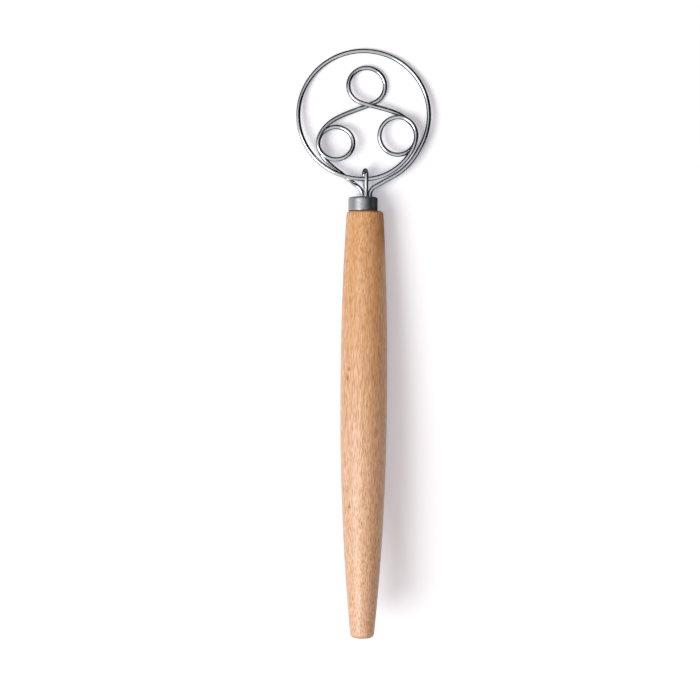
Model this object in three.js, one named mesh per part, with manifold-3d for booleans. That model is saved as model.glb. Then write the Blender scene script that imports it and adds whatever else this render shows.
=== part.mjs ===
// Batter whisk: a flat head bent from one length of round steel wire, a hook that holds its ring, and a
// collar on a turned beech handle. Millimetres, +Z up. It lies on the ground with the handle along +Y and the
// head level, and the origin is on the ground under its middle.

import * as THREE from "three";
import { mergeVertices } from "three/addons/utils/BufferGeometryUtils.js";
import Module from "manifold-3d";

const { lerp, smoothstep, degToRad } = THREE.MathUtils;

// Handle, measured from its butt. Its flanks fall away from the belly by a power of the distance from it
const HANDLE_LENGTH = 246.2;
const BELLY_DIAMETER = 27.1;
const BELLY_FROM_BUTT = 143.7;
const BUTT_DIAMETER = 13.4;
const BUTT_EDGE_RADIUS = 2.5;
const SHOULDER_DIAMETER = 21.2;
const SHOULDER_EDGE_RADIUS = 1.8;
const FLANK_POWER = 2.15;

// Ferrule, and how far it and its spigot sit to the left of the handle's axis
const FERRULE_DIAMETER = 17;
const FERRULE_HEIGHT = 7.9;
const FERRULE_WALL = 0.9;
const FERRULE_EDGE_RADIUS = 1.1;
const FERRULE_OFFSET = 1.2;

// Wire, the clear distance kept where it passes over itself and between neighbouring shanks, and how far the
// shanks sit to the right of the handle's axis
const WIRE_DIAMETER = 2.5;
const CROSSING_GAP = 1.1;
const SHANK_GAP = 0.65;
const SHANK_DEPTH = 36;
const BUNDLE_OFFSET = 0.6;

// Angles of the head are in degrees, anticlockwise from +X as seen from above

// Ring, on the wire's centre line: radii across and along the handle, how far it sits to the left of the axis
// and above the ferrule, and where the wire joins and leaves it
const RING_RADIUS_ACROSS = 37.8;
const RING_RADIUS_ALONG = 37;
const RING_OFFSET = 1.15;
const NECK_LENGTH = 10.6;
const RING_START = -25;
const RING_END = 275;

// Legs: straight out of the ferrule, then bent outwards. The right one heads for a place just outside the
// ring, and the left one comes from a place under it
const LEG_STRAIGHT = 1.5;
const LEG_BEND_RADIUS = 5.4;
const RIGHT_LEG_PLACE = -63;
const RIGHT_LEG_OUTSIDE = 2.2;
const LEFT_LEG_PLACE = 254.7;

// Loops inside the ring: direction from the ring's centre, inset from the ring, radii across and along the
// handle, and the angles between which the wire goes round. The top loop is bent clockwise
const RIGHT_LOOP = { direction: -31, inset: 3.5, across: 10.6, along: 10.75, entry: -15, exit: 402 };
const TOP_LOOP = { direction: 84.2, inset: 10, across: 10.6, along: 10.4, entry: 251, exit: -63 };
const LEFT_LOOP = { direction: 225.7, inset: 4.65, across: 10.2, along: 9.5, entry: 165, exit: 550 };

// Hook over the bottom of the ring: its gap to the ring, how far its bend's centre lies past the ring, and
// how far its front leg leans to the right of its back leg
const HOOK_GAP = 0.35;
const HOOK_REACH = 2.1;
const HOOK_TWIST = 1.3;

// Hardened adhesive round the shanks and below their ends
const PLUG_WALL = 0.9;
const PLUG_FOOT = 2;

// Clearance between fitted pieces, and how far cutters and joined solids run past a face
const FIT_GAP = 0.3;
const OVERCUT = 1;

// Fineness of the surfaces. Steps along a wire are shares of its diameter
const HANDLE_SIDES = 40;
const FLANK_RINGS = 26;
const EDGE_STEPS = 4;
const BORE_SIDES = 28;
const WIRE_SIDES = 10;
const WIRE_STEP_SHARE = 0.85;
const HOOK_STEP_SHARE = 0.35;
const SAMPLE_STEP_SHARE = 0.25;

// Reach of a blend's handles as a share of its chord, the distance at which two curves count as meeting, and
// the length of wire, in diameters, within which two points count as neighbours
const BLEND_REACH = 0.35;
const MEETING = 1e-6;
const NEIGHBOUR_SPAN = 2;

// Sizes that follow from those above
const BELLY_RADIUS = BELLY_DIAMETER / 2;
const WIRE_RADIUS = WIRE_DIAMETER / 2;
const FERRULE_RADIUS = FERRULE_DIAMETER / 2;
const FERRULE_BOTTOM = HANDLE_LENGTH + FIT_GAP;
const FERRULE_TOP = FERRULE_BOTTOM + FERRULE_HEIGHT;
const SPIGOT_RADIUS = FERRULE_RADIUS - FERRULE_WALL - FIT_GAP;
const SPIGOT_TOP = FERRULE_TOP - FERRULE_WALL - FIT_GAP;
const SHANK_OFFSET = (WIRE_DIAMETER + SHANK_GAP) / Math.SQRT2;
const SHANK_SEATS = {
  right: new THREE.Vector3(BUNDLE_OFFSET + SHANK_OFFSET, 0, 0),
  left: new THREE.Vector3(BUNDLE_OFFSET - SHANK_OFFSET, 0, 0),
  front: new THREE.Vector3(BUNDLE_OFFSET, 0, SHANK_OFFSET),
  back: new THREE.Vector3(BUNDLE_OFFSET, 0, -SHANK_OFFSET),
};
const BUNDLE_RADIUS = SHANK_OFFSET + WIRE_RADIUS;
const PLUG_RADIUS = BUNDLE_RADIUS + PLUG_WALL;
const BORE_RADIUS = PLUG_RADIUS + FIT_GAP;
const SHANK_BOTTOM = SPIGOT_TOP - SHANK_DEPTH;
const PLUG_BOTTOM = SHANK_BOTTOM - PLUG_FOOT;
const BORE_BOTTOM = PLUG_BOTTOM - FIT_GAP;
const RING_CENTRE = new THREE.Vector3(-RING_OFFSET, FERRULE_TOP + NECK_LENGTH + RING_RADIUS_ALONG, 0);
const RING_RADIUS_MEAN = (RING_RADIUS_ACROSS + RING_RADIUS_ALONG) / 2;
const HEAD_TOP = RING_CENTRE.y + RING_RADIUS_ALONG + WIRE_RADIUS;
const PASS_LIFT = (WIRE_DIAMETER + CROSSING_GAP) / 2;
const AXIS_HEIGHT = BELLY_RADIUS * Math.cos(Math.PI / HANDLE_SIDES);

const wasm = await Module();
wasm.setup();

// Finishes
const beech = new THREE.MeshStandardMaterial({ color: "#d6a677", roughness: 0.6, metalness: 0 });
const zincedSteel = new THREE.MeshStandardMaterial({ color: "#8f8f92", roughness: 0.45, metalness: 1 });
const ringSteel = new THREE.MeshStandardMaterial({ color: "#c9cacc", roughness: 0.18, metalness: 1 });
const hookSteel = new THREE.MeshStandardMaterial({ color: "#c4c5c8", roughness: 0.2, metalness: 1 });
const epoxy = new THREE.MeshStandardMaterial({ color: "#b99f6a", roughness: 0.5, metalness: 0 });

// Joining and cutting closed solids

function toSolid(geometry) {
  const bare = geometry.clone();
  bare.deleteAttribute("normal");
  bare.deleteAttribute("uv");
  const merged = mergeVertices(bare);
  return new wasm.Manifold(new wasm.Mesh({
    numProp: 3,
    vertProperties: new Float32Array(merged.attributes.position.array),
    triVerts: new Uint32Array(merged.index.array),
  }));
}

function toGeometry(solid) {
  const mesh = solid.getMesh();
  const geometry = new THREE.BufferGeometry();
  geometry.setAttribute("position", new THREE.BufferAttribute(mesh.vertProperties, 3));
  geometry.setIndex(new THREE.BufferAttribute(mesh.triVerts, 1));
  geometry.computeVertexNormals();
  return geometry;
}

// A round rod along Y between two heights, off the axis by x and z
function rod(radius, bottom, top, sides, x = 0, z = 0) {
  const geometry = new THREE.CylinderGeometry(radius, radius, top - bottom, sides);
  return geometry.translate(x, (bottom + top) / 2, z);
}

// Points on a quarter circle about a corner's centre, from one angle to the next
function edgeArc(centreX, centreY, radius, startAngle) {
  return Array.from({ length: EDGE_STEPS + 1 }, (_, i) => {
    const angle = startAngle + (i / EDGE_STEPS) * (Math.PI / 2);
    return new THREE.Vector2(centreX + radius * Math.cos(angle), centreY + radius * Math.sin(angle));
  });
}

// Handle: two bowed flanks that meet at the belly, with rounded edges at the butt and the shoulder

function flankRadius(height) {
  const towardsButt = height < BELLY_FROM_BUTT;
  const span = towardsButt ? BELLY_FROM_BUTT : HANDLE_LENGTH - BELLY_FROM_BUTT;
  const drop = BELLY_RADIUS - (towardsButt ? BUTT_DIAMETER : SHOULDER_DIAMETER) / 2;
  return BELLY_RADIUS - drop * (Math.abs(height - BELLY_FROM_BUTT) / span) ** FLANK_POWER;
}

function handleGeometry() {
  const flankBottom = BUTT_EDGE_RADIUS;
  const flankTop = HANDLE_LENGTH - SHOULDER_EDGE_RADIUS;
  const flank = Array.from({ length: FLANK_RINGS - 1 }, (_, i) => {
    const height = lerp(flankBottom, flankTop, (i + 1) / FLANK_RINGS);
    return new THREE.Vector2(flankRadius(height), height);
  });
  const buttCentre = flankRadius(flankBottom) - BUTT_EDGE_RADIUS;
  const shoulderCentre = flankRadius(flankTop) - SHOULDER_EDGE_RADIUS;
  const profile = [
    new THREE.Vector2(0, 0),
    ...edgeArc(buttCentre, flankBottom, BUTT_EDGE_RADIUS, -Math.PI / 2),
    ...flank,
    ...edgeArc(shoulderCentre, flankTop, SHOULDER_EDGE_RADIUS, 0),
    new THREE.Vector2(0, HANDLE_LENGTH),
  ];
  const body = new THREE.LatheGeometry(profile, HANDLE_SIDES, Math.PI / HANDLE_SIDES);
  const spigot = rod(SPIGOT_RADIUS, HANDLE_LENGTH - OVERCUT, SPIGOT_TOP, HANDLE_SIDES, -FERRULE_OFFSET);
  const bore = rod(BORE_RADIUS, BORE_BOTTOM, SPIGOT_TOP + OVERCUT, BORE_SIDES, BUNDLE_OFFSET);
  return toGeometry(toSolid(body).add(toSolid(spigot)).subtract(toSolid(bore)));
}

// Ferrule: a drawn cup, mouth down, with a rounded top edge and a hole for the wires

function ferruleGeometry() {
  const innerRadius = FERRULE_RADIUS - FERRULE_WALL;
  const ceiling = FERRULE_TOP - FERRULE_WALL;
  const edge = FERRULE_TOP - FERRULE_EDGE_RADIUS;
  const profile = [
    new THREE.Vector2(0, ceiling),
    new THREE.Vector2(innerRadius, ceiling),
    new THREE.Vector2(innerRadius, FERRULE_BOTTOM),
    new THREE.Vector2(FERRULE_RADIUS, FERRULE_BOTTOM),
    ...edgeArc(FERRULE_RADIUS - FERRULE_EDGE_RADIUS, edge, FERRULE_EDGE_RADIUS, 0),
    new THREE.Vector2(0, FERRULE_TOP),
  ];
  const cup = new THREE.LatheGeometry(profile, HANDLE_SIDES).translate(-FERRULE_OFFSET, 0, 0);
  const holeRadius = BUNDLE_RADIUS + FIT_GAP;
  const hole = rod(holeRadius, ceiling - OVERCUT, FERRULE_TOP + OVERCUT, BORE_SIDES, BUNDLE_OFFSET);
  return toGeometry(toSolid(cup).subtract(toSolid(hole)));
}

// Wire routes

// An arc about a centre, on two axes that may differ in length, easing from one height to another
class Turn extends THREE.Curve {
  constructor(centre, across, along, angles, heights = [0, 0]) {
    super();
    Object.assign(this, { centre, across, along, angles, heights });
  }

  getPoint(t, target = new THREE.Vector3()) {
    const angle = lerp(...this.angles, t);
    target.copy(this.centre);
    target.addScaledVector(this.across, Math.cos(angle));
    target.addScaledVector(this.along, Math.sin(angle));
    target.z += lerp(...this.heights, smoothstep(t, 0, 1));
    return target;
  }
}

// A turn that lies in the plane of the head
function levelTurn(centre, across, along, angles, heights) {
  return new Turn(centre, new THREE.Vector3(across, 0, 0), new THREE.Vector3(0, along, 0), angles, heights);
}

function ringTurn(start, end) {
  return levelTurn(RING_CENTRE, RING_RADIUS_ACROSS, RING_RADIUS_ALONG, [degToRad(start), degToRad(end)]);
}

// A loop inside the ring, made from front to back so that the wire passes behind itself
function loopTurn({ direction, inset, across, along, entry, exit }) {
  const distance = RING_RADIUS_MEAN - inset - (across + along) / 2;
  const bearing = degToRad(direction);
  const step = new THREE.Vector3(Math.cos(bearing), Math.sin(bearing), 0).multiplyScalar(distance);
  const angles = [degToRad(entry), degToRad(exit)];
  return levelTurn(step.add(RING_CENTRE), across, along, angles, [PASS_LIFT, -PASS_LIFT]);
}

// A curve between two others that leaves and arrives in line with them
function blend(before, after) {
  const start = before.getPoint(1);
  const end = after.getPoint(0);
  const reach = BLEND_REACH * start.distanceTo(end);
  const leave = start.clone().addScaledVector(before.getTangent(1), reach);
  const arrive = end.clone().addScaledVector(after.getTangent(0), -reach);
  return new THREE.CubicBezierCurve3(start, leave, arrive, end);
}

// One route through a list of curves, with a blend wherever two neighbours do not meet
function thread(curves) {
  const route = new THREE.CurvePath();
  curves.forEach((curve, i) => {
    const before = curves[i - 1];
    if (before && before.getPoint(1).distanceTo(curve.getPoint(0)) > MEETING) {
      route.add(blend(before, curve));
    }
    route.add(curve);
  });
  route.arcLengthDivisions = routeSteps(route, SAMPLE_STEP_SHARE);
  return route;
}

function routeSteps(route, stepShare) {
  return Math.ceil(route.getLength() / (stepShare * WIRE_DIAMETER));
}

function wireGeometry(route, stepShare) {
  const section = new THREE.Shape().absarc(0, 0, WIRE_RADIUS, 0, 2 * Math.PI);
  return new THREE.ExtrudeGeometry(section, {
    extrudePath: route,
    steps: routeSteps(route, stepShare),
    curveSegments: WIRE_SIDES / 2,
  });
}

// A straight shank in the bore, drawn from its hidden end up to where it leaves the ferrule
function shank(seat) {
  const bottom = seat.clone().setY(SHANK_BOTTOM);
  const top = seat.clone().setY(FERRULE_TOP + LEG_STRAIGHT);
  return new THREE.LineCurve3(bottom, top);
}

function reversed(line) {
  return new THREE.LineCurve3(line.v2, line.v1);
}

// Right leg: bends out of its shank to run straight to a place just outside the ring
function rightLeg(foot) {
  const place = ringTurn(RIGHT_LEG_PLACE, RING_END);
  const travel = place.getTangent(0);
  const outward = new THREE.Vector3(travel.y, -travel.x, 0);
  const end = place.getPoint(0).addScaledVector(outward, RIGHT_LEG_OUTSIDE);
  const centre = foot.clone().setX(foot.x + LEG_BEND_RADIUS);
  const step = end.clone().sub(centre);
  const leave = Math.atan2(step.y, step.x) + Math.acos(LEG_BEND_RADIUS / step.length());
  const bend = levelTurn(centre, LEG_BEND_RADIUS, LEG_BEND_RADIUS, [Math.PI, leave]);
  return [bend, new THREE.LineCurve3(bend.getPoint(1), end)];
}

// Left leg: passes straight under the ring, and bends into line with its shank
function leftLeg(foot) {
  const under = ringTurn(LEFT_LEG_PLACE, RING_END).getPoint(0);
  const centre = foot.clone().setX(foot.x - LEG_BEND_RADIUS);
  const step = under.clone().sub(centre);
  const arrive = Math.atan2(step.y, step.x) - Math.acos(LEG_BEND_RADIUS / step.length());
  const bend = levelTurn(centre, LEG_BEND_RADIUS, LEG_BEND_RADIUS, [arrive, 0]);
  const half = bend.getPoint(0).sub(under).setLength(WIRE_RADIUS);
  under.z -= WIRE_DIAMETER + CROSSING_GAP;
  return [new THREE.LineCurve3(under.clone().sub(half), under.clone().add(half)), bend];
}

function whiskRoute() {
  const rightShank = shank(SHANK_SEATS.right);
  const leftShank = shank(SHANK_SEATS.left);
  return thread([
    rightShank,
    ...rightLeg(rightShank.v2),
    ringTurn(RING_START, RING_END),
    loopTurn(RIGHT_LOOP),
    loopTurn(TOP_LOOP),
    loopTurn(LEFT_LOOP),
    ...leftLeg(leftShank.v2),
    reversed(leftShank),
  ]);
}

function hookRoute() {
  const halfWidth = WIRE_DIAMETER + HOOK_GAP;
  const centre = new THREE.Vector3(0, RING_CENTRE.y - RING_RADIUS_ALONG + HOOK_REACH, 0);
  const across = new THREE.Vector3(HOOK_TWIST / 2, 0, halfWidth);
  const along = new THREE.Vector3(0, halfWidth, 0);
  const bend = new Turn(centre, across, along, [Math.PI, 0]);
  return thread([shank(SHANK_SEATS.back), bend, reversed(shank(SHANK_SEATS.front))]);
}

// Least clear distance between stretches of a wire that are not neighbours along it
function leastGap(route) {
  const points = route.getSpacedPoints(routeSteps(route, SAMPLE_STEP_SHARE));
  const apart = Math.ceil(NEIGHBOUR_SPAN / SAMPLE_STEP_SHARE);
  let least = Infinity;
  for (let i = 0; i < points.length; i += 1) {
    for (let j = i + apart; j < points.length; j += 1) {
      least = Math.min(least, points[i].distanceTo(points[j]));
    }
  }
  return least - WIRE_DIAMETER;
}

// Epoxy plug: fills the bore, with a channel for each shank

function plugGeometry() {
  const channelRadius = WIRE_RADIUS + FIT_GAP;
  const channelBottom = SHANK_BOTTOM - FIT_GAP;
  let plug = toSolid(rod(PLUG_RADIUS, PLUG_BOTTOM, SPIGOT_TOP, BORE_SIDES, BUNDLE_OFFSET));
  for (const { x, z } of Object.values(SHANK_SEATS)) {
    const channel = rod(channelRadius, channelBottom, SPIGOT_TOP + OVERCUT, WIRE_SIDES, x, z);
    plug = plug.subtract(toSolid(channel));
  }
  return toGeometry(plug);
}

function piece(name, geometry, material) {
  const mesh = new THREE.Mesh(geometry, material);
  mesh.name = name;
  return mesh;
}

const whiskWire = whiskRoute();
console.log(`whisk_wire: ${whiskWire.getLength().toFixed(0)} mm long`);
console.log(`whisk_wire: least gap to itself ${leastGap(whiskWire).toFixed(2)} mm`);

const whisk = new THREE.Group();
whisk.name = "batter_whisk";
whisk.add(
  piece("handle", handleGeometry(), beech),
  piece("ferrule", ferruleGeometry(), zincedSteel),
  piece("whisk_wire", wireGeometry(whiskWire, WIRE_STEP_SHARE), ringSteel),
  piece("ring_hook", wireGeometry(hookRoute(), HOOK_STEP_SHARE), hookSteel),
  piece("epoxy_plug", plugGeometry(), epoxy),
);
whisk.position.set(RING_OFFSET, -HEAD_TOP / 2, AXIS_HEIGHT);

export default whisk;
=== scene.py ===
"""Batter whisk: turned beech handle, steel ferrule and bent steel wire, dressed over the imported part."""

import math
from bisect import bisect_right
from itertools import accumulate
from typing import NamedTuple

import bmesh
import bpy
from bpy.props import FloatProperty, FloatVectorProperty, PointerProperty
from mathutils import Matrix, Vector


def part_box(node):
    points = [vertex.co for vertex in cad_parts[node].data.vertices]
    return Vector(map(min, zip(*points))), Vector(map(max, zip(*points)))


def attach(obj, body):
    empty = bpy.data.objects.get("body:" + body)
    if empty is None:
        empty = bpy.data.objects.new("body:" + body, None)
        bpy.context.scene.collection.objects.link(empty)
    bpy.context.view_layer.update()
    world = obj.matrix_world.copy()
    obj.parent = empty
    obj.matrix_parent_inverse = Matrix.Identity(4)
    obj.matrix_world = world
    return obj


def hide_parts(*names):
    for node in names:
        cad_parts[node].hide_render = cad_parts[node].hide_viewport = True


bl_info = {
    "name": "Batter whisk",
    "version": (1, 0, 0),
    "blender": (4, 5, 0),
    "location": "View3D > Sidebar > Whisk",
    "description": "Dresses a packed batter whisk with beech, steel and a white table",
    "category": "Add Mesh",
}

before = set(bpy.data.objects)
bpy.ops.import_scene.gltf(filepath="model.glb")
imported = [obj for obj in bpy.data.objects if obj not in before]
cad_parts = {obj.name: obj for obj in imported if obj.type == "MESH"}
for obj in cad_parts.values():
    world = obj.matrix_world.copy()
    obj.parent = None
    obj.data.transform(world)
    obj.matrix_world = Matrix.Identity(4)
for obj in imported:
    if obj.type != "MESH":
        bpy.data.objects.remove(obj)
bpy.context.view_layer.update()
BODY = "root"
MM = 0.001

# The handle's axis and butt, which every piece is measured from
HANDLE_LOW, HANDLE_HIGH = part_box("handle")
FOOT = Vector(((HANDLE_LOW.x + HANDLE_HIGH.x) / 2, HANDLE_LOW.y, (HANDLE_LOW.z + HANDLE_HIGH.z) / 2))

# Fineness of the meshes
HANDLE_SIDES = 160
FERRULE_SIDES = 128
WIRE_SIDES = 24
FLANK_RINGS = 120
WALL_RINGS = 12
EDGE_STEPS = 10
WIRE_STEP = 0.6 * MM
CURVE_SAMPLES = 400
SHARP_ANGLE = math.radians(40)

# Wire routes: reach of a blend's handles as a share of its chord, and the distance at which two curves meet
BLEND_REACH = 0.35
MEETING = 1e-9
# Step along a route, as a share of it, over which its direction is taken
HEADING_STEP = 1e-4

# Clearance between the handle and the ferrule that stands on it
HANDLE_FIT = 0.3 * MM

# Beech: sizes of its marks in millimetres, across the grain and along it, flecks coarser than real to show
GRAIN = {
    "drift": (14, 110),
    "streak": (1.1, 60),
    "fibre": (0.22, 5.5),
    "bold fleck": (0.55, 6.5),
    "fine fleck": (0.4, 4.5),
}
# Shares of the handle's length between which the wood darkens, and the tone that is added there
HEADWARD_START, HEADWARD_END = 0.3, 1.2
HEADWARD_PALEST, HEADWARD_DARKEST = -0.38, 0.475
# Growth rings: the distance between them, how they lie to the handle, and how wavy they are
RING_SPACING = 3.4 * MM
RING_TILT = (0, math.radians(28), math.radians(0.6))
RING_WAVINESS = 5
RING_WAVES = 0.4
# Distance between the bands of a wave texture at a scale of one
WAVE_SPACING = math.pi / 10
# How much the rings and streaks add to the tone, and the tones of the pale and the tan wood
RING_WEIGHT, STREAK_WEIGHT = 0.25, 1
PALE_TONE, TAN_TONE = 0.7, 1.6
# Pores: the fibre's values where they start and where they are deepest, and how dark they get
PORE_START, PORE_FULL, PORE_DEPTH = 0.42, 0.7, 0.72
# Ray flecks: their edge and core as shares of a cell
FLECK_EDGE, FLECK_CORE = 0.36, 0.2
# The draws between which they fade in, and how dark they get
FLECK_LEAST, FLECK_MOST = 0.5, 0.7
FLECK_DEPTHS = (("bold fleck", 0.75), ("fine fleck", 0.62))
# Faces turned to the handle's ends are darkened: how far a face turns where it starts and is full, and how
# dark it gets
END_DARKENING_START, END_DARKENING_FULL, END_DARKENING_DEPTH = 0.35, 0.95, 0.7
# Pin knots: place from the axis and the butt, and size across and along the grain
PIN_KNOTS = (
    (Vector((-8.6, 155.2, 10.4)) * MM, Vector((0.9, 1.3, 0.9)) * MM),
    (Vector((-9.3, 150.1, 9.8)) * MM, Vector((1.0, 2.2, 1.0)) * MM),
    (Vector((-7.9, 76.2, 9.0)) * MM, Vector((1.0, 1.6, 1.0)) * MM),
)
# A knot's edge and core as shares of its size, how far the fibre frays it, and how dark it gets
KNOT_EDGE, KNOT_CORE, KNOT_FRAYING, KNOT_DEPTH = 1.5, 0.7, 0.8, 0.75
# Range of the fibre and of the roughness that it gives the oiled wood
FIBRE_LOW, FIBRE_HIGH = 0.3, 0.7
WOOD_SMOOTH, WOOD_ROUGH = 0.38, 0.5
# Strength and depth of the pores' and flecks' relief, and the oil's shine
WOOD_RELIEF, WOOD_RELIEF_DEPTH = 0.2, 0.05 * MM
WOOD_IOR = 1.6

# Ferrule: length of its turning lines and the distance between them, coarser than real to show
TURNING_LENGTH, TURNING_SPACING = 9 * MM, 0.35 * MM
# Strength and depth of the lines' relief
TURNING_RELIEF, TURNING_DEPTH = 0.25, 0.03 * MM
# Mottling of the plating: its size, and its light and dark places as shares of the steel's colour
MOTTLE_SIZE = 1.1 * MM
MOTTLE_LIGHT, MOTTLE_DARK = 1.25, 0.5
# Range of lines and mottling together, and of the roughness that they give
DULLING_LOW, DULLING_HIGH = 0.7, 1.3
FERRULE_SMOOTH, FERRULE_ROUGH = 0.32, 0.46

# Wires: draw lines round the wire, their length in millimetres, and the steel's colour in them as a share
DRAW_LINES, DRAW_LENGTH, DRAW_SHADE = 26, 12, 0.82
# Range of the draw lines' values, and the strength and depth of their relief
DRAW_LOW, DRAW_HIGH = 0.3, 0.7
DRAW_RELIEF, DRAW_DEPTH = 0.1, 0.01 * MM
# Roughness of both wires, and how far the draw lines spread it
HEAD_ROUGHNESS, HOOK_ROUGHNESS = 0.12, 0.14
SMOOTHER, ROUGHER = 0.7, 1.3

# Epoxy: size of its clouds, and its skin
CLOUD_SIZE = 2 * MM
EPOXY_ROUGHNESS, EPOXY_IOR = 0.3, 1.55

# The table's width and how far it lies under the whisk
TABLE_WIDTH = 2.4
TABLE_GAP = 0.2 * MM

# The dark screen's top edge, as bearings and heights in degrees from the head, and how far it hangs below
SCREEN_RIM = (
    (-70, 0), (-55, 30), (-40, 36), (-28, 42), (-18, 64), (-8, 90), (0, 104), (15, 95), (30, 78), (45, 64),
    (60, 56), (75, 54), (90, 56), (105, 60), (120, 62), (135, 60), (152, 62), (165, 46), (180, 0),
)
SCREEN_HEM = 100 * MM

# Painted shade: a dark card stands in for the shade on the table beside and under the head, seen only in
# reflections
# The dark card: its left edge, along the whisk from the ring's middle and across, and its right edge
SHADE_CARD_EDGE = ((-75 * MM, 10 * MM), (-38 * MM, 10 * MM), (-37 * MM, -36 * MM), (110 * MM, -36 * MM))
SHADE_CARD_FAR = 300 * MM

WHITE = (1, 1, 1, 1)


class Loop(NamedTuple):
    """A loop inside the ring: its place and radii, and the angles in degrees between which the wire turns."""

    direction: float
    inset: float
    across: float
    along: float
    entry: float
    exit: float


RIGHT_LOOP = Loop(-31, 3.5 * MM, 10.6 * MM, 10.75 * MM, -15, 402)
TOP_LOOP = Loop(84.2, 10 * MM, 10.6 * MM, 10.4 * MM, 251, -63)
LEFT_LOOP = Loop(225.7, 4.65 * MM, 10.2 * MM, 9.5 * MM, 165, 550)


def linear(hex_colour):
    """Turn an sRGB hex value into linear red, green and blue."""
    channels = [int(hex_colour[i:i + 2], 16) / 255 for i in (1, 3, 5)]
    return [c / 12.92 if c <= 0.04045 else ((c + 0.055) / 1.055) ** 2.4 for c in channels]


def length(name, description, millimetres):
    """A length that a user can change, in metres."""
    return FloatProperty(
        name=name, description=description, default=millimetres * MM, min=0, precision=5, unit="LENGTH"
    )


def angle(name, description, degrees):
    """An angle that a user can change."""
    return FloatProperty(name=name, description=description, default=math.radians(degrees), unit="ROTATION")


def power(name, description, watts):
    """A lamp's power that a user can change."""
    return FloatProperty(name=name, description=description, default=watts, min=0, unit="POWER")


def share(name, description, default):
    """A plain number that a user can change."""
    return FloatProperty(name=name, description=description, default=default, min=0)


def colour(name, description, hex_colour):
    """A colour that a user can change."""
    return FloatVectorProperty(
        name=name, description=description, default=linear(hex_colour), min=0, max=1, subtype="COLOR"
    )


# Settings


class HandleSettings(bpy.types.PropertyGroup):
    """Sizes and colours of the turned handle."""

    length: length("Length", "From the butt to the shoulder", 246.2)
    belly: length("Belly", "Diameter of the thickest place", 27.1)
    belly_place: length("Belly place", "From the butt to the thickest place", 143.7)
    butt: length("Butt", "Diameter at the butt", 13.4)
    butt_edge: length("Butt edge", "Radius of the butt's edge", 2.5)
    shoulder: length("Shoulder", "Diameter at the shoulder", 21.2)
    shoulder_edge: length("Shoulder edge", "Radius of the shoulder's edge", 1.8)
    flank_power: share("Flank power", "Power by which the flanks fall away from the belly", 2.15)
    bore: length("Bore", "Diameter of the bore for the wires", 9.35)
    bore_depth: length("Bore depth", "From the end of the spigot to the bottom of the bore", 38.3)
    pale: colour("Pale wood", "Early wood", "#F9D4B4")
    tan: colour("Tan wood", "Late wood", "#ECB77E")
    fleck: colour("Ray flecks", "Short dark dashes along the grain", "#9C4F1C")
    knot: colour("Pin knots", "Small dark marks", "#85502A")


class FerruleSettings(bpy.types.PropertyGroup):
    """Sizes and colours of the steel cup between handle and wires."""

    diameter: length("Diameter", "Outside diameter", 17)
    height: length("Height", "From the shoulder to the top face", 7.9)
    wall: length("Wall", "Thickness of the sheet", 0.9)
    edge: length("Top edge", "Radius of the top edge", 1.1)
    mouth: length("Mouth edge", "Radius of the edge that stands on the shoulder", 0.35)
    offset: length("Offset", "How far it sits to the left of the handle's axis", 1.2)
    hole: length("Hole", "Diameter of the hole for the wires", 7.55)
    steel: colour("Steel", "Dull plated steel", "#A8A9AD")


class WireSettings(bpy.types.PropertyGroup):
    """Sizes and colours of the bent wires."""

    diameter: length("Diameter", "Of both wires", 2.5)
    crossing_gap: length("Crossing gap", "Clear distance where the wire passes over itself", 1.1)
    shank_gap: length("Shank gap", "Clear distance between neighbouring shanks", 0.65)
    shank_depth: length("Shank depth", "How deep the shanks stand in the handle", 36)
    bundle_offset: length("Shank offset", "How far right of the handle's axis the shanks stand", 0.6)
    ring_across: length("Ring across", "Radius of the ring across the handle", 37.8)
    ring_along: length("Ring along", "Radius of the ring along the handle", 37)
    ring_offset: length("Ring offset", "How far the ring sits to the left of the axis", 1.15)
    ring_start: angle("Ring start", "Where the wire joins the ring", -25)
    ring_end: angle("Ring end", "Where the wire leaves the ring", 275)
    neck: length("Neck", "From the ferrule to the ring", 10.6)
    leg_straight: length("Straight leg", "How far the legs run straight out of the ferrule", 1.5)
    leg_bend: length("Leg bend", "Radius of the legs' bends", 5.4)
    right_leg_place: angle("Right leg", "Where the right leg reaches the ring", -63)
    right_leg_outside: length("Right leg gap", "How far outside the ring the right leg reaches it", 2.2)
    left_leg_place: angle("Left leg", "Where the left leg passes under the ring", 254.7)
    hook_gap: length("Hook gap", "Between the hook and the ring", 0.35)
    hook_reach: length("Hook reach", "How far the centre of the hook's bend lies past the ring", 2.1)
    hook_lean: length("Hook lean", "How far the hook's front leg lies to the right of its back leg", 1.3)
    steel: colour("Steel", "Bright stainless steel", "#C6C7C9")
    steel_edge: colour("Steel seen flat", "What the steel mirrors at a flat angle, as a share", "#6A6A6A")


class PlugSettings(bpy.types.PropertyGroup):
    """Colours of the adhesive in the bore."""

    amber: colour("Amber", "Clear places", "#B99F6A")
    cloud: colour("Cloud", "Clouded places", "#8F7443")


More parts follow.
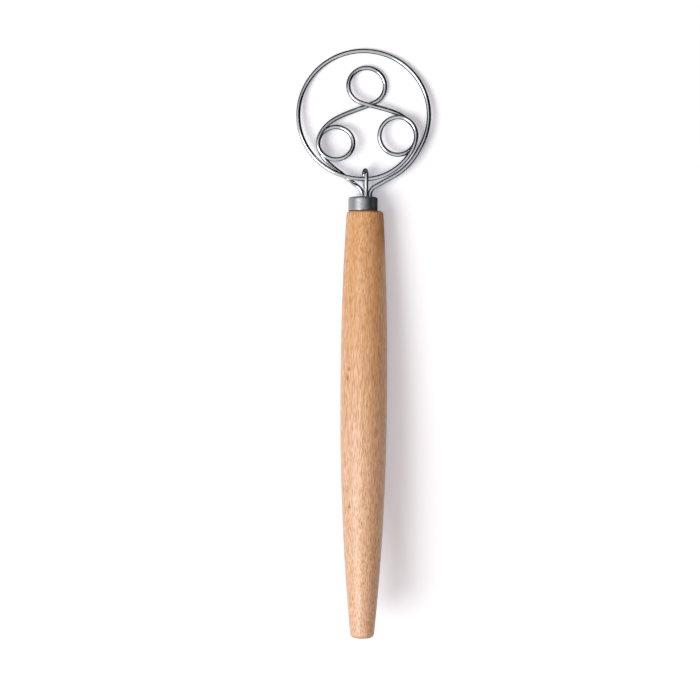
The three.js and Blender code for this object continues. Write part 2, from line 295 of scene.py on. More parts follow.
class StageSettings(bpy.types.PropertyGroup):
    """Camera, light and table."""

    camera_distance: length("Camera distance", "Above the handle's axis", 1000)
    frame_width: length("Frame width", "What the camera sees at the height of the axis", 404.6)
    camera_right: FloatProperty(
        name="Right of axis", description="Camera's place across the handle", default=-8.1 * MM, unit="LENGTH"
    )
    camera_up: length("From the butt", "Camera's place along the handle", 166.1)
    camera_roll: angle("Roll", "Turn of the camera about its line of sight", 0.384)
    key_distance: length("Key distance", "From the middle of the whisk to the soft lamp", 8000)
    key_size: length("Key size", "Width of the soft lamp", 5000)
    key_elevation: angle("Key elevation", "Height of the soft lamp above the table", 50)
    key_azimuth: angle("Key azimuth", "Where the soft lamp stands, anticlockwise from the right", 211)
    key_power: power("Key power", "Of the soft lamp", 518)
    key_glare: share("Key glare", "How much of the soft lamp's light shows as its mirror image", 0.12)
    top_height: length("Top height", "From the middle of the whisk to the lamp overhead", 3000)
    top_size: length("Top size", "Width of the lamp overhead", 2000)
    top_power: power("Top power", "Of the lamp overhead", 25)
    top_tint: colour("Top tint", "Colour of the lamp overhead", "#FFE3C0")
    fill: share("Fill", "Strength of the light from all round", 0.04)
    fill_tint: colour("Fill tint", "Colour of the light from all round", "#FFB870")
    screen_distance: length("Screen distance", "From the head to the dark screen round it", 1500)
    table: colour("Table", "Matt white board", "#F9F9F9")
    lift: colour("Table's white", "What the board is seen with on top of its light", "#8491A5")
    screen: colour("Dark screen", "Black cloth", "#0C0C0C")
    # Painted shade: the card's colour stands in for the shade on the table as the metal mirrors it
    card: colour("Card", "Painted shade card on the table beside and under the head", "#3C3C3C")


# Nodes and meshes


def rgba(rgb, level=1):
    """A colour with full alpha, as the sockets take it, made lighter or darker by a share."""
    return (*(level * channel for channel in rgb), 1)


def add_node(tree, kind, settings=None, inputs=None):
    """Add a node, set its properties, and fill or link its inputs by name or number."""
    node = tree.nodes.new(kind)
    for name, value in (settings or {}).items():
        setattr(node, name, value)
    for name, value in (inputs or {}).items():
        if isinstance(value, bpy.types.NodeSocket):
            tree.links.new(value, node.inputs[name])
        else:
            node.inputs[name].default_value = value
    return node


def new_material(name):
    """An empty node material, with its tree and its output."""
    material = bpy.data.materials.new(name)
    material.use_nodes = True
    material.node_tree.nodes.clear()
    output = add_node(material.node_tree, "ShaderNodeOutputMaterial")
    return material, material.node_tree, output


def circle(centre, radius, sides):
    """Points round the handle's axis at one height."""
    turns = (2 * math.pi * j / sides for j in range(sides))
    return [centre + Vector((radius * math.cos(t), 0, radius * math.sin(t))) for t in turns]


def edge_points(centre_radius, centre_height, radius, start):
    """Radius and height of points on a quarter circle, from one angle to the next."""
    turns = (start + math.pi / 2 * i / EDGE_STEPS for i in range(EDGE_STEPS + 1))
    return [(centre_radius + radius * math.cos(t), centre_height + radius * math.sin(t)) for t in turns]


def loft(name, rings, material, closed=False):
    """A piece skinned over rings of points: closed on itself, or capped at both ends."""
    bm = bmesh.new()
    loops = [[bm.verts.new(point) for point in ring] for ring in rings]
    steps = [0.0]
    steps += accumulate((b[0] - a[0]).length for a, b in zip(rings, rings[1:] + rings[:1]))
    uv = bm.loops.layers.uv.new("Along")
    sides = len(rings[0])
    spans = len(rings) if closed else len(rings) - 1
    for i in range(spans):
        lower, upper = loops[i], loops[(i + 1) % len(rings)]
        for j in range(sides):
            k = (j + 1) % sides
            face = bm.faces.new((lower[j], lower[k], upper[k], upper[j]))
            corners = ((j, i), (j + 1, i), (j + 1, i + 1), (j, i + 1))
            for corner, (u, v) in zip(face.loops, corners):
                corner[uv].uv = (u / sides, steps[v] / MM)
    if not closed:
        for ring in (loops[0], loops[-1]):
            middle = sum((v.co for v in ring), Vector()) / sides
            cap = bm.verts.new(middle)
            for j in range(sides):
                bm.faces.new((ring[j], ring[(j + 1) % sides], cap))
    bmesh.ops.recalc_face_normals(bm, faces=bm.faces)
    for face in bm.faces:
        face.smooth = True
    for edge in bm.edges:
        edge.smooth = edge.calc_face_angle(0) < SHARP_ANGLE
    mesh = bpy.data.meshes.new(name)
    bm.to_mesh(mesh)
    bm.free()
    mesh.materials.append(material)
    piece = bpy.data.objects.new(name, mesh)
    piece.location = FOOT
    bpy.context.scene.collection.objects.link(piece)
    return piece


def settle(piece, node):
    """Put a piece in the place of a CAD node."""
    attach(piece, BODY)
    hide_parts(node)


# Materials


def beech(handle):
    """Beech, turned, sanded and oiled: pale tan, with soft bands and short dark flecks along the grain."""
    material, tree, output = new_material("Oiled beech")
    coordinates = add_node(tree, "ShaderNodeTexCoord").outputs
    place = coordinates["Object"]
    grain = {}
    for mark, (across, along) in GRAIN.items():
        scale = Vector((1 / across, 1 / along, 1 / across)) / MM
        grain[mark] = add_node(
            tree, "ShaderNodeVectorMath", {"operation": "MULTIPLY"}, {0: place, 1: scale}
        ).outputs["Vector"]
    drift, streak, fibre = (
        add_node(
            tree, "ShaderNodeTexNoise", None, {"Vector": grain[mark], "Scale": 1, "Detail": detail}
        ).outputs["Fac"]
        for mark, detail in (("drift", 2), ("streak", 2), ("fibre", 1))
    )
    # The wood is paler towards the butt
    height = add_node(tree, "ShaderNodeSeparateXYZ", None, {"Vector": place}).outputs["Y"]
    headward_tone = add_node(
        tree, "ShaderNodeMapRange", {"interpolation_type": "SMOOTHSTEP"},
        {
            "Value": height,
            "From Min": HEADWARD_START * handle.length, "From Max": HEADWARD_END * handle.length,
            "To Min": HEADWARD_PALEST, "To Max": HEADWARD_DARKEST,
        },
    ).outputs["Result"]
    # Growth rings, seen as soft bands where the turned surface cuts them
    tilted = add_node(
        tree, "ShaderNodeMapping", None, {"Vector": place, "Rotation": RING_TILT}
    ).outputs["Vector"]
    rings = add_node(
        tree, "ShaderNodeTexWave", {"wave_type": "BANDS", "bands_direction": "X"},
        {
            "Vector": tilted, "Scale": WAVE_SPACING / RING_SPACING,
            "Distortion": RING_WAVINESS, "Detail": 3, "Detail Scale": RING_WAVES,
        },
    ).outputs["Fac"]
    tone = add_node(tree, "ShaderNodeMath", {"operation": "ADD"}, {0: drift, 1: headward_tone}).outputs["Value"]
    for pattern, weight in ((rings, RING_WEIGHT), (streak, STREAK_WEIGHT)):
        tone = add_node(
            tree, "ShaderNodeMath", {"operation": "MULTIPLY_ADD"}, {0: pattern, 1: weight, 2: tone}
        ).outputs["Value"]
    tone = add_node(
        tree, "ShaderNodeMapRange", None, {"Value": tone, "From Min": PALE_TONE, "From Max": TAN_TONE}
    ).outputs["Result"]
    wood = add_node(
        tree, "ShaderNodeMix", {"data_type": "RGBA"},
        {"Factor": tone, 6: rgba(handle.pale), 7: rgba(handle.tan)},
    ).outputs[2]
    # Dark pores between the fibres
    flecks = add_node(
        tree, "ShaderNodeMapRange", None,
        {"Value": fibre, "From Min": PORE_START, "From Max": PORE_FULL, "To Max": PORE_DEPTH},
    ).outputs["Result"]
    # Ray flecks, spindles that fill part of their cells, some dark and some hardly seen
    for mark, depth in FLECK_DEPTHS:
        cells = add_node(
            tree, "ShaderNodeTexVoronoi", {"feature": "F1"}, {"Vector": grain[mark], "Scale": 1}
        ).outputs
        spindle = add_node(
            tree, "ShaderNodeMapRange", None,
            {"Value": cells["Distance"], "From Min": FLECK_EDGE, "From Max": FLECK_CORE},
        ).outputs["Result"]
        draw = add_node(tree, "ShaderNodeSeparateColor", None, {"Color": cells["Color"]}).outputs["Red"]
        draw = add_node(
            tree, "ShaderNodeMapRange", None,
            {"Value": draw, "From Min": FLECK_LEAST, "From Max": FLECK_MOST, "To Max": depth},
        ).outputs["Result"]
        layer = add_node(
            tree, "ShaderNodeMath", {"operation": "MULTIPLY"}, {0: spindle, 1: draw}
        ).outputs["Value"]
        flecks = add_node(
            tree, "ShaderNodeMath", {"operation": "MAXIMUM"}, {0: flecks, 1: layer}
        ).outputs["Value"]
    wood = add_node(
        tree, "ShaderNodeMix", {"data_type": "RGBA"}, {"Factor": flecks, 6: wood, 7: rgba(handle.fleck)}
    ).outputs[2]
    # Darker where a face turns to the handle's ends
    facing = add_node(tree, "ShaderNodeSeparateXYZ", None, {"Vector": coordinates["Normal"]}).outputs["Y"]
    facing = add_node(tree, "ShaderNodeMath", {"operation": "ABSOLUTE"}, {0: facing}).outputs["Value"]
    end_darkening = add_node(
        tree, "ShaderNodeMapRange", None,
        {
            "Value": facing, "From Min": END_DARKENING_START, "From Max": END_DARKENING_FULL,
            "To Max": END_DARKENING_DEPTH,
        },
    ).outputs["Result"]
    wood = add_node(
        tree, "ShaderNodeMix", {"data_type": "RGBA"}, {"Factor": end_darkening, 6: wood, 7: rgba(handle.fleck)}
    ).outputs[2]
    # Pin knots, one to two millimetres across, frayed by the fibre
    for spot, size in PIN_KNOTS:
        away = add_node(
            tree, "ShaderNodeVectorMath", {"operation": "SUBTRACT"}, {0: place, 1: spot}
        ).outputs["Vector"]
        away = add_node(
            tree, "ShaderNodeVectorMath", {"operation": "DIVIDE"}, {0: away, 1: size}
        ).outputs["Vector"]
        away = add_node(
            tree, "ShaderNodeVectorMath", {"operation": "LENGTH"}, {0: away}
        ).outputs["Value"]
        away = add_node(
            tree, "ShaderNodeMath", {"operation": "MULTIPLY_ADD"}, {0: fibre, 1: KNOT_FRAYING, 2: away}
        ).outputs["Value"]
        mark = add_node(
            tree, "ShaderNodeMapRange", None,
            {"Value": away, "From Min": KNOT_EDGE, "From Max": KNOT_CORE, "To Max": KNOT_DEPTH},
        ).outputs["Result"]
        wood = add_node(
            tree, "ShaderNodeMix", {"data_type": "RGBA"}, {"Factor": mark, 6: wood, 7: rgba(handle.knot)}
        ).outputs[2]
    roughness = add_node(
        tree, "ShaderNodeMapRange", None,
        {
            "Value": fibre, "From Min": FIBRE_LOW, "From Max": FIBRE_HIGH,
            "To Min": WOOD_SMOOTH, "To Max": WOOD_ROUGH,
        },
    ).outputs["Result"]
    relief = add_node(
        tree, "ShaderNodeMath", {"operation": "SUBTRACT"}, {0: 1, 1: flecks}
    ).outputs["Value"]
    surface = add_node(
        tree, "ShaderNodeBump", None,
        {"Height": relief, "Strength": WOOD_RELIEF, "Distance": WOOD_RELIEF_DEPTH},
    ).outputs["Normal"]
    shader = add_node(
        tree, "ShaderNodeBsdfPrincipled", None,
        {"Base Color": wood, "Roughness": roughness, "Normal": surface, "IOR": WOOD_IOR},
    )
    tree.links.new(shader.outputs["BSDF"], output.inputs["Surface"])
    return material


def plated_steel(ferrule):
    """Drawn and plated steel: dull grey, with faint turning lines round it and a soft mottled gloss."""
    material, tree, output = new_material("Plated steel")
    place = add_node(tree, "ShaderNodeTexCoord").outputs["Object"]
    lines = add_node(
        tree, "ShaderNodeVectorMath", {"operation": "MULTIPLY"},
        {0: place, 1: (1 / TURNING_LENGTH, 1 / TURNING_SPACING, 1 / TURNING_LENGTH)},
    ).outputs["Vector"]
    lines = add_node(
        tree, "ShaderNodeTexNoise", None, {"Vector": lines, "Scale": 1, "Detail": 2}
    ).outputs["Fac"]
    mottle = add_node(
        tree, "ShaderNodeTexNoise", None, {"Vector": place, "Scale": 1 / MOTTLE_SIZE, "Detail": 3}
    ).outputs["Fac"]
    steel = add_node(
        tree, "ShaderNodeMix", {"data_type": "RGBA"},
        {"Factor": mottle, 6: rgba(ferrule.steel, MOTTLE_LIGHT), 7: rgba(ferrule.steel, MOTTLE_DARK)},
    ).outputs[2]
    dulling = add_node(
        tree, "ShaderNodeMath", {"operation": "ADD"}, {0: lines, 1: mottle}
    ).outputs["Value"]
    roughness = add_node(
        tree, "ShaderNodeMapRange", None,
        {
            "Value": dulling, "From Min": DULLING_LOW, "From Max": DULLING_HIGH,
            "To Min": FERRULE_SMOOTH, "To Max": FERRULE_ROUGH,
        },
    ).outputs["Result"]
    relief = add_node(
        tree, "ShaderNodeBump", None,
        {"Height": lines, "Strength": TURNING_RELIEF, "Distance": TURNING_DEPTH},
    ).outputs["Normal"]
    shader = add_node(
        tree, "ShaderNodeBsdfPrincipled", None,
        {"Base Color": steel, "Metallic": 1, "Roughness": roughness, "Normal": relief},
    )
    tree.links.new(shader.outputs["BSDF"], output.inputs["Surface"])
    return material


def drawn_steel(wire, name, roughness):
    """Stainless wire, drawn and polished: bright, with fine draw lines along it."""
    material, tree, output = new_material(name)
    along = add_node(tree, "ShaderNodeUVMap", {"uv_map": "Along"}).outputs["UV"]
    lines = add_node(
        tree, "ShaderNodeVectorMath", {"operation": "MULTIPLY"},
        {0: along, 1: (DRAW_LINES, 1 / DRAW_LENGTH, 1)},
    ).outputs["Vector"]
    lines = add_node(
        tree, "ShaderNodeTexNoise", None, {"Vector": lines, "Scale": 1, "Detail": 2}
    ).outputs["Fac"]
    steel = add_node(
        tree, "ShaderNodeMix", {"data_type": "RGBA"},
        {"Factor": lines, 6: rgba(wire.steel), 7: rgba(wire.steel, DRAW_SHADE)},
    ).outputs[2]
    gloss = add_node(
        tree, "ShaderNodeMapRange", None,
        {
            "Value": lines, "From Min": DRAW_LOW, "From Max": DRAW_HIGH,
            "To Min": roughness * SMOOTHER, "To Max": roughness * ROUGHER,
        },
    ).outputs["Result"]
    relief = add_node(
        tree, "ShaderNodeBump", None, {"Height": lines, "Strength": DRAW_RELIEF, "Distance": DRAW_DEPTH}
    ).outputs["Normal"]
    shader = add_node(
        tree, "ShaderNodeBsdfPrincipled", None,
        {
            "Base Color": steel, "Metallic": 1, "Roughness": gloss, "Normal": relief,
            "Specular Tint": rgba(wire.steel_edge),
        },
    )
    tree.links.new(shader.outputs["BSDF"], output.inputs["Surface"])
    return material


def epoxy(plug):
    """Epoxy adhesive, poured and set: amber, with a clouded tone and a glossy skin."""
    material, tree, output = new_material("Set epoxy")
    place = add_node(tree, "ShaderNodeTexCoord").outputs["Object"]
    cloud = add_node(
        tree, "ShaderNodeTexNoise", None, {"Vector": place, "Scale": 1 / CLOUD_SIZE, "Detail": 3}
    ).outputs["Fac"]
    amber = add_node(
        tree, "ShaderNodeMix", {"data_type": "RGBA"},
        {"Factor": cloud, 6: rgba(plug.amber), 7: rgba(plug.cloud)},
    ).outputs[2]
    shader = add_node(
        tree, "ShaderNodeBsdfPrincipled", None,
        {"Base Color": amber, "Roughness": EPOXY_ROUGHNESS, "IOR": EPOXY_IOR},
    )
    tree.links.new(shader.outputs["BSDF"], output.inputs["Surface"])
    return material


# Wire routes, as functions of a share of their length


def line(start, end):
    """A straight run."""
    return lambda t: start.lerp(end, t)


def turn(centre, across, along, angles, heights=(0, 0)):
    """An arc on two axes that may differ in length, easing from one height to another."""

    def point(t):
        swing = angles[0] + (angles[1] - angles[0]) * t
        rise = heights[0] + (heights[1] - heights[0]) * (3 - 2 * t) * t * t
        return centre + across * math.cos(swing) + along * math.sin(swing) + Vector((0, 0, rise))

    return point


def level_turn(centre, across, along, angles, heights=(0, 0)):
    """A turn that lies in the plane of the head."""
    return turn(centre, Vector((across, 0, 0)), Vector((0, along, 0)), angles, heights)


def heading(curve, t):
    """The direction of a curve at a share of its length."""
    return (curve(min(t + HEADING_STEP, 1)) - curve(max(t - HEADING_STEP, 0))).normalized()


def blend(before, after):
    """A curve between two others that leaves and arrives in line with them."""
    start, end = before(1), after(0)
    reach = BLEND_REACH * (end - start).length
    leave, arrive = start + heading(before, 1) * reach, end - heading(after, 0) * reach

    def point(t):
        s = 1 - t
        return start * s ** 3 + leave * (3 * s * s * t) + arrive * (3 * s * t * t) + end * t ** 3

    return point


def trace(curves):
    """Points at even steps along a chain of curves, with a blend wherever two neighbours do not meet."""
    chain = curves[:1]
    for curve in curves[1:]:
        if (chain[-1](1) - curve(0)).length > MEETING:
            chain.append(blend(chain[-1], curve))
        chain.append(curve)
    dense = [curve(i / CURVE_SAMPLES) for curve in chain for i in range(CURVE_SAMPLES)] + [chain[-1](1)]
    run = [0.0, *accumulate((b - a).length for a, b in zip(dense, dense[1:]))]
    count = math.ceil(run[-1] / WIRE_STEP)
    points = []
    for i in range(count + 1):
        target = run[-1] * i / count
        k = min(bisect_right(run, target), len(run) - 1)
        gap = run[k] - run[k - 1]
        points.append(dense[k - 1].lerp(dense[k], (target - run[k - 1]) / gap if gap else 0))
    return points


def sweep(points, radius):
    """Rings of points round a route, carried along it without twisting."""
    rings = []
    side = Vector((0, 0, 1))
    for i, point in enumerate(points):
        ahead = (points[min(i + 1, len(points) - 1)] - points[max(i - 1, 0)]).normalized()
        side = (side - ahead * side.dot(ahead)).normalized()
        other = ahead.cross(side)
        turns = (2 * math.pi * j / WIRE_SIDES for j in range(WIRE_SIDES))
        rings.append([point + (side * math.cos(t) + other * math.sin(t)) * radius for t in turns])
    return rings


class WireLayout:
    """Places that both wires share, worked out from the settings."""

    def __init__(self, scene):
        handle, ferrule, self.wire = scene.whisk_handle, scene.whisk_ferrule, scene.whisk_wire
        wire = self.wire
        self.ferrule_top = handle.length + HANDLE_FIT + ferrule.height
        self.spigot_top = self.ferrule_top - ferrule.wall - HANDLE_FIT
        self.seat = (wire.diameter + wire.shank_gap) / math.sqrt(2)
        self.ring_centre = Vector((-wire.ring_offset, self.ferrule_top + wire.neck + wire.ring_along, 0))

    def shank(self, x, z):
        """A straight shank in the bore, from its hidden end to where it leaves the ferrule."""
        across = self.wire.bundle_offset + x * self.seat
        bottom = Vector((across, self.spigot_top - self.wire.shank_depth, z * self.seat))
        return bottom, Vector((bottom.x, self.ferrule_top + self.wire.leg_straight, bottom.z))

    def ring(self, start, end):
        """A stretch of the ring between two angles."""
        return level_turn(self.ring_centre, self.wire.ring_across, self.wire.ring_along, (start, end))

    def loop(self, loop):
        """A loop inside the ring, made from front to back so that the wire passes behind itself."""
        mean = (self.wire.ring_across + self.wire.ring_along) / 2
        distance = mean - loop.inset - (loop.across + loop.along) / 2
        bearing = math.radians(loop.direction)
        centre = self.ring_centre + Vector((math.cos(bearing), math.sin(bearing), 0)) * distance
        lift = (self.wire.diameter + self.wire.crossing_gap) / 2
        angles = (math.radians(loop.entry), math.radians(loop.exit))
        return level_turn(centre, loop.across, loop.along, angles, (lift, -lift))

    def right_leg(self, foot):
        """Bends out of its shank and runs straight to a place just outside the ring."""
        place = self.ring(self.wire.right_leg_place, self.wire.ring_end)
        travel = heading(place, 0)
        end = place(0) + Vector((travel.y, -travel.x, 0)) * self.wire.right_leg_outside
        bend = self.wire.leg_bend
        centre = foot + Vector((bend, 0, 0))
        step = end - centre
        leave = math.atan2(step.y, step.x) + math.acos(bend / step.length)
        arc = level_turn(centre, bend, bend, (math.pi, leave))
        return [arc, line(arc(1), end)]

    def left_leg(self, foot):
        """Passes straight under the ring, and bends into line with its shank."""
        under = self.ring(self.wire.left_leg_place, self.wire.ring_end)(0)
        bend = self.wire.leg_bend
        centre = foot - Vector((bend, 0, 0))
        step = under - centre
        arrive = math.atan2(step.y, step.x) - math.acos(bend / step.length)
        arc = level_turn(centre, bend, bend, (arrive, 0))
        half = (arc(0) - under).normalized() * (self.wire.diameter / 2)
        under = under - Vector((0, 0, self.wire.diameter + self.wire.crossing_gap))
        return [line(under - half, under + half), arc]

    def head(self):
        """The whisk's wire from one hidden end to the other."""
        right_bottom, right_top = self.shank(1, 0)
        left_bottom, left_top = self.shank(-1, 0)
        return trace([
            line(right_bottom, right_top),
            *self.right_leg(right_top),
            self.ring(self.wire.ring_start, self.wire.ring_end),
            self.loop(RIGHT_LOOP),
            self.loop(TOP_LOOP),
            self.loop(LEFT_LOOP),
            *self.left_leg(left_top),
            line(left_top, left_bottom),
        ])

    def hook(self):
        """The short wire that goes over the bottom of the ring and back."""
        half = self.wire.diameter + self.wire.hook_gap
        centre = self.ring_centre - Vector((0, self.wire.ring_along - self.wire.hook_reach, 0))
        centre.x = 0
        across = Vector((self.wire.hook_lean / 2, 0, half))
        back_bottom, back_top = self.shank(0, -1)
        front_bottom, front_top = self.shank(0, 1)
        return trace([
            line(back_bottom, back_top),
            turn(centre, across, Vector((0, half, 0)), (math.pi, 0)),
            line(front_top, front_bottom),
        ])


# Operators


class WHISK_OT_handle(bpy.types.Operator):
    """Turn the beech handle, with its spigot and bore"""

    bl_idname = "whisk.handle"
    bl_label = "Handle"

    def execute(self, context):
        scene = context.scene
        handle, ferrule, wire = scene.whisk_handle, scene.whisk_ferrule, scene.whisk_wire
        belly = handle.belly / 2

        def flank(height):
            to_butt = height < handle.belly_place
            span = handle.belly_place if to_butt else handle.length - handle.belly_place
            drop = belly - (handle.butt if to_butt else handle.shoulder) / 2
            return belly - drop * (abs(height - handle.belly_place) / span) ** handle.flank_power

        low, high = handle.butt_edge, handle.length - handle.shoulder_edge
        heights = [low + (high - low) * (i + 1) / FLANK_RINGS for i in range(FLANK_RINGS - 1)]
        profile = edge_points(flank(low) - handle.butt_edge, low, handle.butt_edge, -math.pi / 2)
        profile += [(flank(height), height) for height in heights]
        profile += edge_points(flank(high) - handle.shoulder_edge, high, handle.shoulder_edge, 0)
        rings = [circle(Vector((0, height, 0)), radius, HANDLE_SIDES) for radius, height in profile]
        spigot = ferrule.diameter / 2 - ferrule.wall - HANDLE_FIT
        spigot_top = handle.length + ferrule.height - ferrule.wall
        for height in (handle.length, spigot_top):
            rings.append(circle(Vector((-ferrule.offset, height, 0)), spigot, HANDLE_SIDES))
        for height in (spigot_top, spigot_top - handle.bore_depth):
            rings.append(circle(Vector((wire.bundle_offset, height, 0)), handle.bore / 2, HANDLE_SIDES))
        settle(loft("turned_handle", rings, beech(handle)), "handle")
        return {"FINISHED"}


class WHISK_OT_ferrule(bpy.types.Operator):
    """Draw the steel ferrule, a cup with a hole for the wires"""

    bl_idname = "whisk.ferrule"
    bl_label = "Ferrule"

    def execute(self, context):
        scene = context.scene
        handle, ferrule, wire = scene.whisk_handle, scene.whisk_ferrule, scene.whisk_wire
        bottom = handle.length + HANDLE_FIT
        top = bottom + ferrule.height
        outer, inner = ferrule.diameter / 2, ferrule.diameter / 2 - ferrule.wall
        profile = [(inner, top - ferrule.wall), (inner, bottom)]
        low, high = bottom + ferrule.mouth, top - ferrule.edge
        profile += edge_points(outer - ferrule.mouth, low, ferrule.mouth, -math.pi / 2)
        profile += [(outer, low + (high - low) * i / WALL_RINGS) for i in range(1, WALL_RINGS)]
        profile += edge_points(outer - ferrule.edge, high, ferrule.edge, 0)
        rings = [
            circle(Vector((-ferrule.offset, height, 0)), radius, FERRULE_SIDES) for radius, height in profile
        ]
        for height in (top, top - ferrule.wall):
            rings.append(circle(Vector((wire.bundle_offset, height, 0)), ferrule.hole / 2, FERRULE_SIDES))
        settle(loft("ferrule_cup", rings, plated_steel(ferrule), closed=True), "ferrule")
        return {"FINISHED"}


class WHISK_OT_wires(bpy.types.Operator):
    """Bend the head's wire and the hook that holds its ring"""

    bl_idname = "whisk.wires"
    bl_label = "Wires"

    def execute(self, context):
        layout = WireLayout(context.scene)
        wire = layout.wire
        head_steel = drawn_steel(wire, "Polished stainless wire", HEAD_ROUGHNESS)
        hook_steel = drawn_steel(wire, "Polished stainless hook", HOOK_ROUGHNESS)
        for name, points, material, node, slot in (
            ("head_wire", layout.head(), head_steel, "whisk_wire", "wire_steel"),
            ("hook_wire", layout.hook(), hook_steel, "ring_hook", "hook_steel"),
        ):
            settle(loft(name, sweep(points, wire.diameter / 2), material), node)
        return {"FINISHED"}


class WHISK_OT_plug(bpy.types.Operator):
    """Finish the adhesive that fills the bore"""

    bl_idname = "whisk.plug"
    bl_label = "Adhesive"

    def execute(self, context):
        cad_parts["epoxy_plug"].data.materials[0] = epoxy(context.scene.whisk_plug)
        return {"FINISHED"}


class WHISK_OT_stage(bpy.types.Operator):
    """Set out the camera, the light and the white table"""

    bl_idname = "whisk.stage"
    bl_label = "Stage"

    def execute(self, context):
        scene = context.scene
        stage = scene.whisk_stage
        scene.view_settings.view_transform = "Standard"
        add_camera(scene, stage)
        add_lamps(scene, stage)
        add_world(scene, stage)
        add_table(scene, stage)
        add_screen(scene, stage)
        return {"FINISHED"}


# Stage


def add_camera(scene, stage):
    """A camera that looks straight down on the whisk."""
    data = bpy.data.cameras.new("Camera")
    data.lens = data.sensor_width * stage.camera_distance / stage.frame_width
    camera = bpy.data.objects.new("Camera", data)
    camera.location = FOOT + Vector((stage.camera_right, stage.camera_up, stage.camera_distance))
    camera.rotation_euler = (0, 0, stage.camera_roll)
    scene.collection.objects.link(camera)
    scene.camera = camera


def add_lamp(scene, name, size, watts, place):
    """A round soft lamp that faces the whisk."""
    data = bpy.data.lights.new(name, "AREA")
    data.shape = "DISK"
    data.size = size
    data.energy = watts
    lamp = bpy.data.objects.new(name, data)
    lamp.location = place
    lamp.rotation_euler = place.to_track_quat("Z", "Y").to_euler()
    scene.collection.objects.link(lamp)
    return lamp


def add_lamps(scene, stage):
    """A large lamp at the left of the butt, its mirror image dimmed, and a weak one overhead without any."""
    away = Vector((
        math.cos(stage.key_azimuth) * math.cos(stage.key_elevation),
        math.sin(stage.key_azimuth) * math.cos(stage.key_elevation),
        math.sin(stage.key_elevation),
    ))
    key = add_lamp(scene, "Key", stage.key_size, stage.key_power, away * stage.key_distance)
    key.data.use_nodes = True
    tree = key.data.node_tree
    tree.nodes.clear()
    mirrored = add_node(tree, "ShaderNodeLightPath").outputs["Is Glossy Ray"]
    strength = add_node(
        tree, "ShaderNodeMapRange", None, {"Value": mirrored, "To Min": 1, "To Max": stage.key_glare}
    ).outputs["Result"]
    light = add_node(tree, "ShaderNodeEmission", None, {"Color": WHITE, "Strength": strength})
    output = add_node(tree, "ShaderNodeOutputLight")
    tree.links.new(light.outputs["Emission"], output.inputs["Surface"])
    top = add_lamp(scene, "Top", stage.top_size, stage.top_power, Vector((0, 0, stage.top_height)))
    top.data.color = stage.top_tint
    top.visible_glossy = False


def seen_directly(tree):
    """One where a ray comes from the camera, a reflection or a clear piece, else nought."""
    path = add_node(tree, "ShaderNodeLightPath")
    seen = add_node(
        tree, "ShaderNodeMath", {"operation": "MAXIMUM"},
        {0: path.outputs["Is Camera Ray"], 1: path.outputs["Is Glossy Ray"]},
    ).outputs["Value"]
    return add_node(
        tree, "ShaderNodeMath", {"operation": "MAXIMUM"}, {0: seen, 1: path.outputs["Is Transmission Ray"]}
    ).outputs["Value"]


def add_world(scene, stage):
    """An even fill from all round, seen as white."""
    world = bpy.data.worlds.new("Studio")
    world.use_nodes = True
    tree = world.node_tree
    tree.nodes.clear()
    fill = add_node(
        tree, "ShaderNodeBackground", None, {"Color": rgba(stage.fill_tint), "Strength": stage.fill}
    )
    white = add_node(tree, "ShaderNodeBackground", None, {"Color": WHITE, "Strength": 1})
    either = add_node(
        tree, "ShaderNodeMixShader", None,
        {"Fac": seen_directly(tree), 1: fill.outputs["Background"], 2: white.outputs["Background"]},
    )
    output = add_node(tree, "ShaderNodeOutputWorld")
    tree.links.new(either.outputs["Shader"], output.inputs["Surface"])
    scene.world = world


def add_sheet(scene, name, corners, material):
    """A flat or bent sheet of the stage, from rows of points."""
    bm = bmesh.new()
    rows = [[bm.verts.new(point) for point in row] for row in corners]
    for low, high in zip(rows, rows[1:]):
        for j in range(len(low) - 1):
            bm.faces.new((low[j], low[j + 1], high[j + 1], high[j]))
    mesh = bpy.data.meshes.new(name)
    bm.to_mesh(mesh)
    bm.free()
    mesh.materials.append(material)
    sheet = bpy.data.objects.new(name, mesh)
    scene.collection.objects.link(sheet)
    return sheet


def table_level(scene, y):
    """Height of the table along the whisk, whose shoulder and far end of the ring rest on it."""
    handle, wire = scene.whisk_handle, scene.whisk_wire
    shoulder = FOOT + Vector((0, handle.length - handle.shoulder_edge, -handle.shoulder / 2))
    ring_end = FOOT + WireLayout(scene).ring_centre + Vector((0, wire.ring_along, -wire.diameter / 2))
    slope = (ring_end.z - shoulder.z) / (ring_end.y - shoulder.y)
    return shoulder.z + slope * (y - shoulder.y) - TABLE_GAP


def add_table(scene, stage):
    """A wide matt white board under the whisk."""
    material, tree, output = new_material("Matt white board")
    board = add_node(tree, "ShaderNodeBsdfDiffuse", None, {"Color": rgba(stage.table)})
    lift = add_node(
        tree, "ShaderNodeEmission", None, {"Color": rgba(stage.lift), "Strength": seen_directly(tree)}
    )
    both = add_node(
        tree, "ShaderNodeAddShader", None, {0: board.outputs["BSDF"], 1: lift.outputs["Emission"]}
    )
    tree.links.new(both.outputs["Shader"], output.inputs["Surface"])
    half = TABLE_WIDTH / 2
    corners = [[(x, y, table_level(scene, y)) for x in (-half, half)] for y in (-half, half)]
    add_sheet(scene, "table", corners, material)


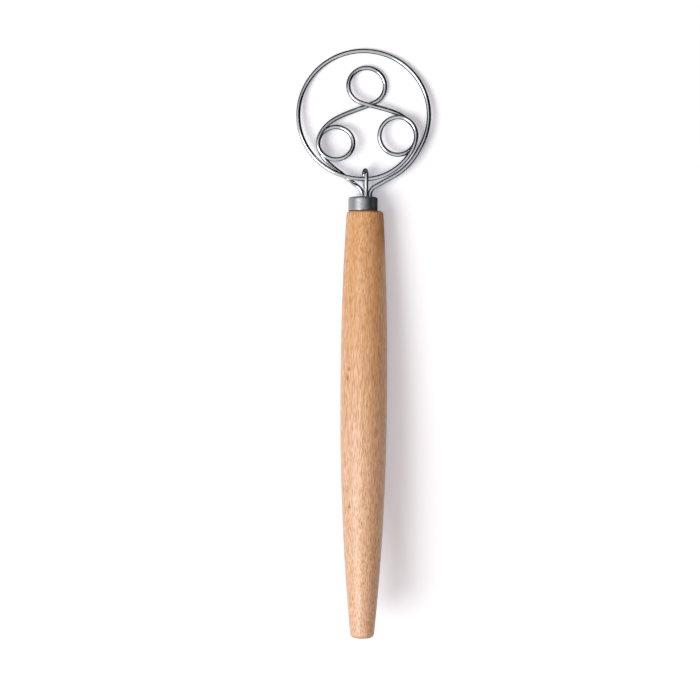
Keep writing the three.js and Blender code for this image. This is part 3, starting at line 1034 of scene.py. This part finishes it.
def add_screen(scene, stage):
    """A dark screen that leans in over the head, and a card on the table whose dark stands in for the shade
    beside and under the head: painted shade, both seen only in reflections.
    """
    head = FOOT + WireLayout(scene).ring_centre
    sight = head - scene.camera.location
    lean = Vector((sight.x, sight.y, stage.camera_distance)).normalized()
    hem, rim = [], []
    for bearing, height in SCREEN_RIM:
        bearing, height = math.radians(bearing), math.radians(height)
        out = Vector((math.cos(bearing), math.sin(bearing), 0)) * stage.screen_distance
        hem.append(head + out - Vector((0, 0, SCREEN_HEM)))
        rim.append(head + out * math.cos(height) + lean * (stage.screen_distance * math.sin(height)))
    # Painted shade: the card lies where the whisk's shade falls on the table, so the metal mirrors that spot
    # dark
    card = []
    for along, left in SHADE_CARD_EDGE:
        y = head.y + along
        card.append([(x, y, table_level(scene, y) + TABLE_GAP / 2) for x in (left, SHADE_CARD_FAR)])
    for name, corners, shade, finish in (
        ("dark_screen", [hem, rim], stage.screen, "Black cloth"),
        ("painted_shade_card", card, stage.card, "Painted shade card"),
    ):
        material, tree, output = new_material(finish)
        matt = add_node(tree, "ShaderNodeBsdfDiffuse", None, {"Color": rgba(shade)})
        tree.links.new(matt.outputs["BSDF"], output.inputs["Surface"])
        sheet = add_sheet(scene, name, corners, material)
        sheet.visible_camera = False
        sheet.visible_diffuse = False
        sheet.visible_shadow = False


# Panel and registration


class WHISK_PT_panel(bpy.types.Panel):
    """The whisk's pieces and their sizes, in the sidebar of the 3D view"""

    bl_idname = "WHISK_PT_panel"
    bl_label = "Batter whisk"
    bl_space_type = "VIEW_3D"
    bl_region_type = "UI"
    bl_category = "Whisk"

    def draw(self, context):
        for operator in OPERATORS:
            self.layout.operator(operator.bl_idname)
        for name, group in GROUPS.items():
            box = self.layout.box()
            settings = getattr(context.scene, name)
            for prop in group.__annotations__:
                box.prop(settings, prop)


GROUPS = {
    "whisk_handle": HandleSettings,
    "whisk_ferrule": FerruleSettings,
    "whisk_wire": WireSettings,
    "whisk_plug": PlugSettings,
    "whisk_stage": StageSettings,
}
OPERATORS = (WHISK_OT_stage, WHISK_OT_handle, WHISK_OT_ferrule, WHISK_OT_wires, WHISK_OT_plug)


def register():
    for group in GROUPS.values():
        bpy.utils.register_class(group)
    for name, group in GROUPS.items():
        setattr(bpy.types.Scene, name, PointerProperty(type=group))
    for cls in (*OPERATORS, WHISK_PT_panel):
        bpy.utils.register_class(cls)


def unregister():
    for cls in (WHISK_PT_panel, *reversed(OPERATORS)):
        bpy.utils.unregister_class(cls)
    for name in GROUPS:
        delattr(bpy.types.Scene, name)
    for group in reversed(GROUPS.values()):
        bpy.utils.unregister_class(group)


def main():
    register()
    bpy.ops.whisk.stage()
    bpy.ops.whisk.handle()
    bpy.ops.whisk.ferrule()
    bpy.ops.whisk.wires()
    bpy.ops.whisk.plug()


if __name__ == "__main__":
    main()
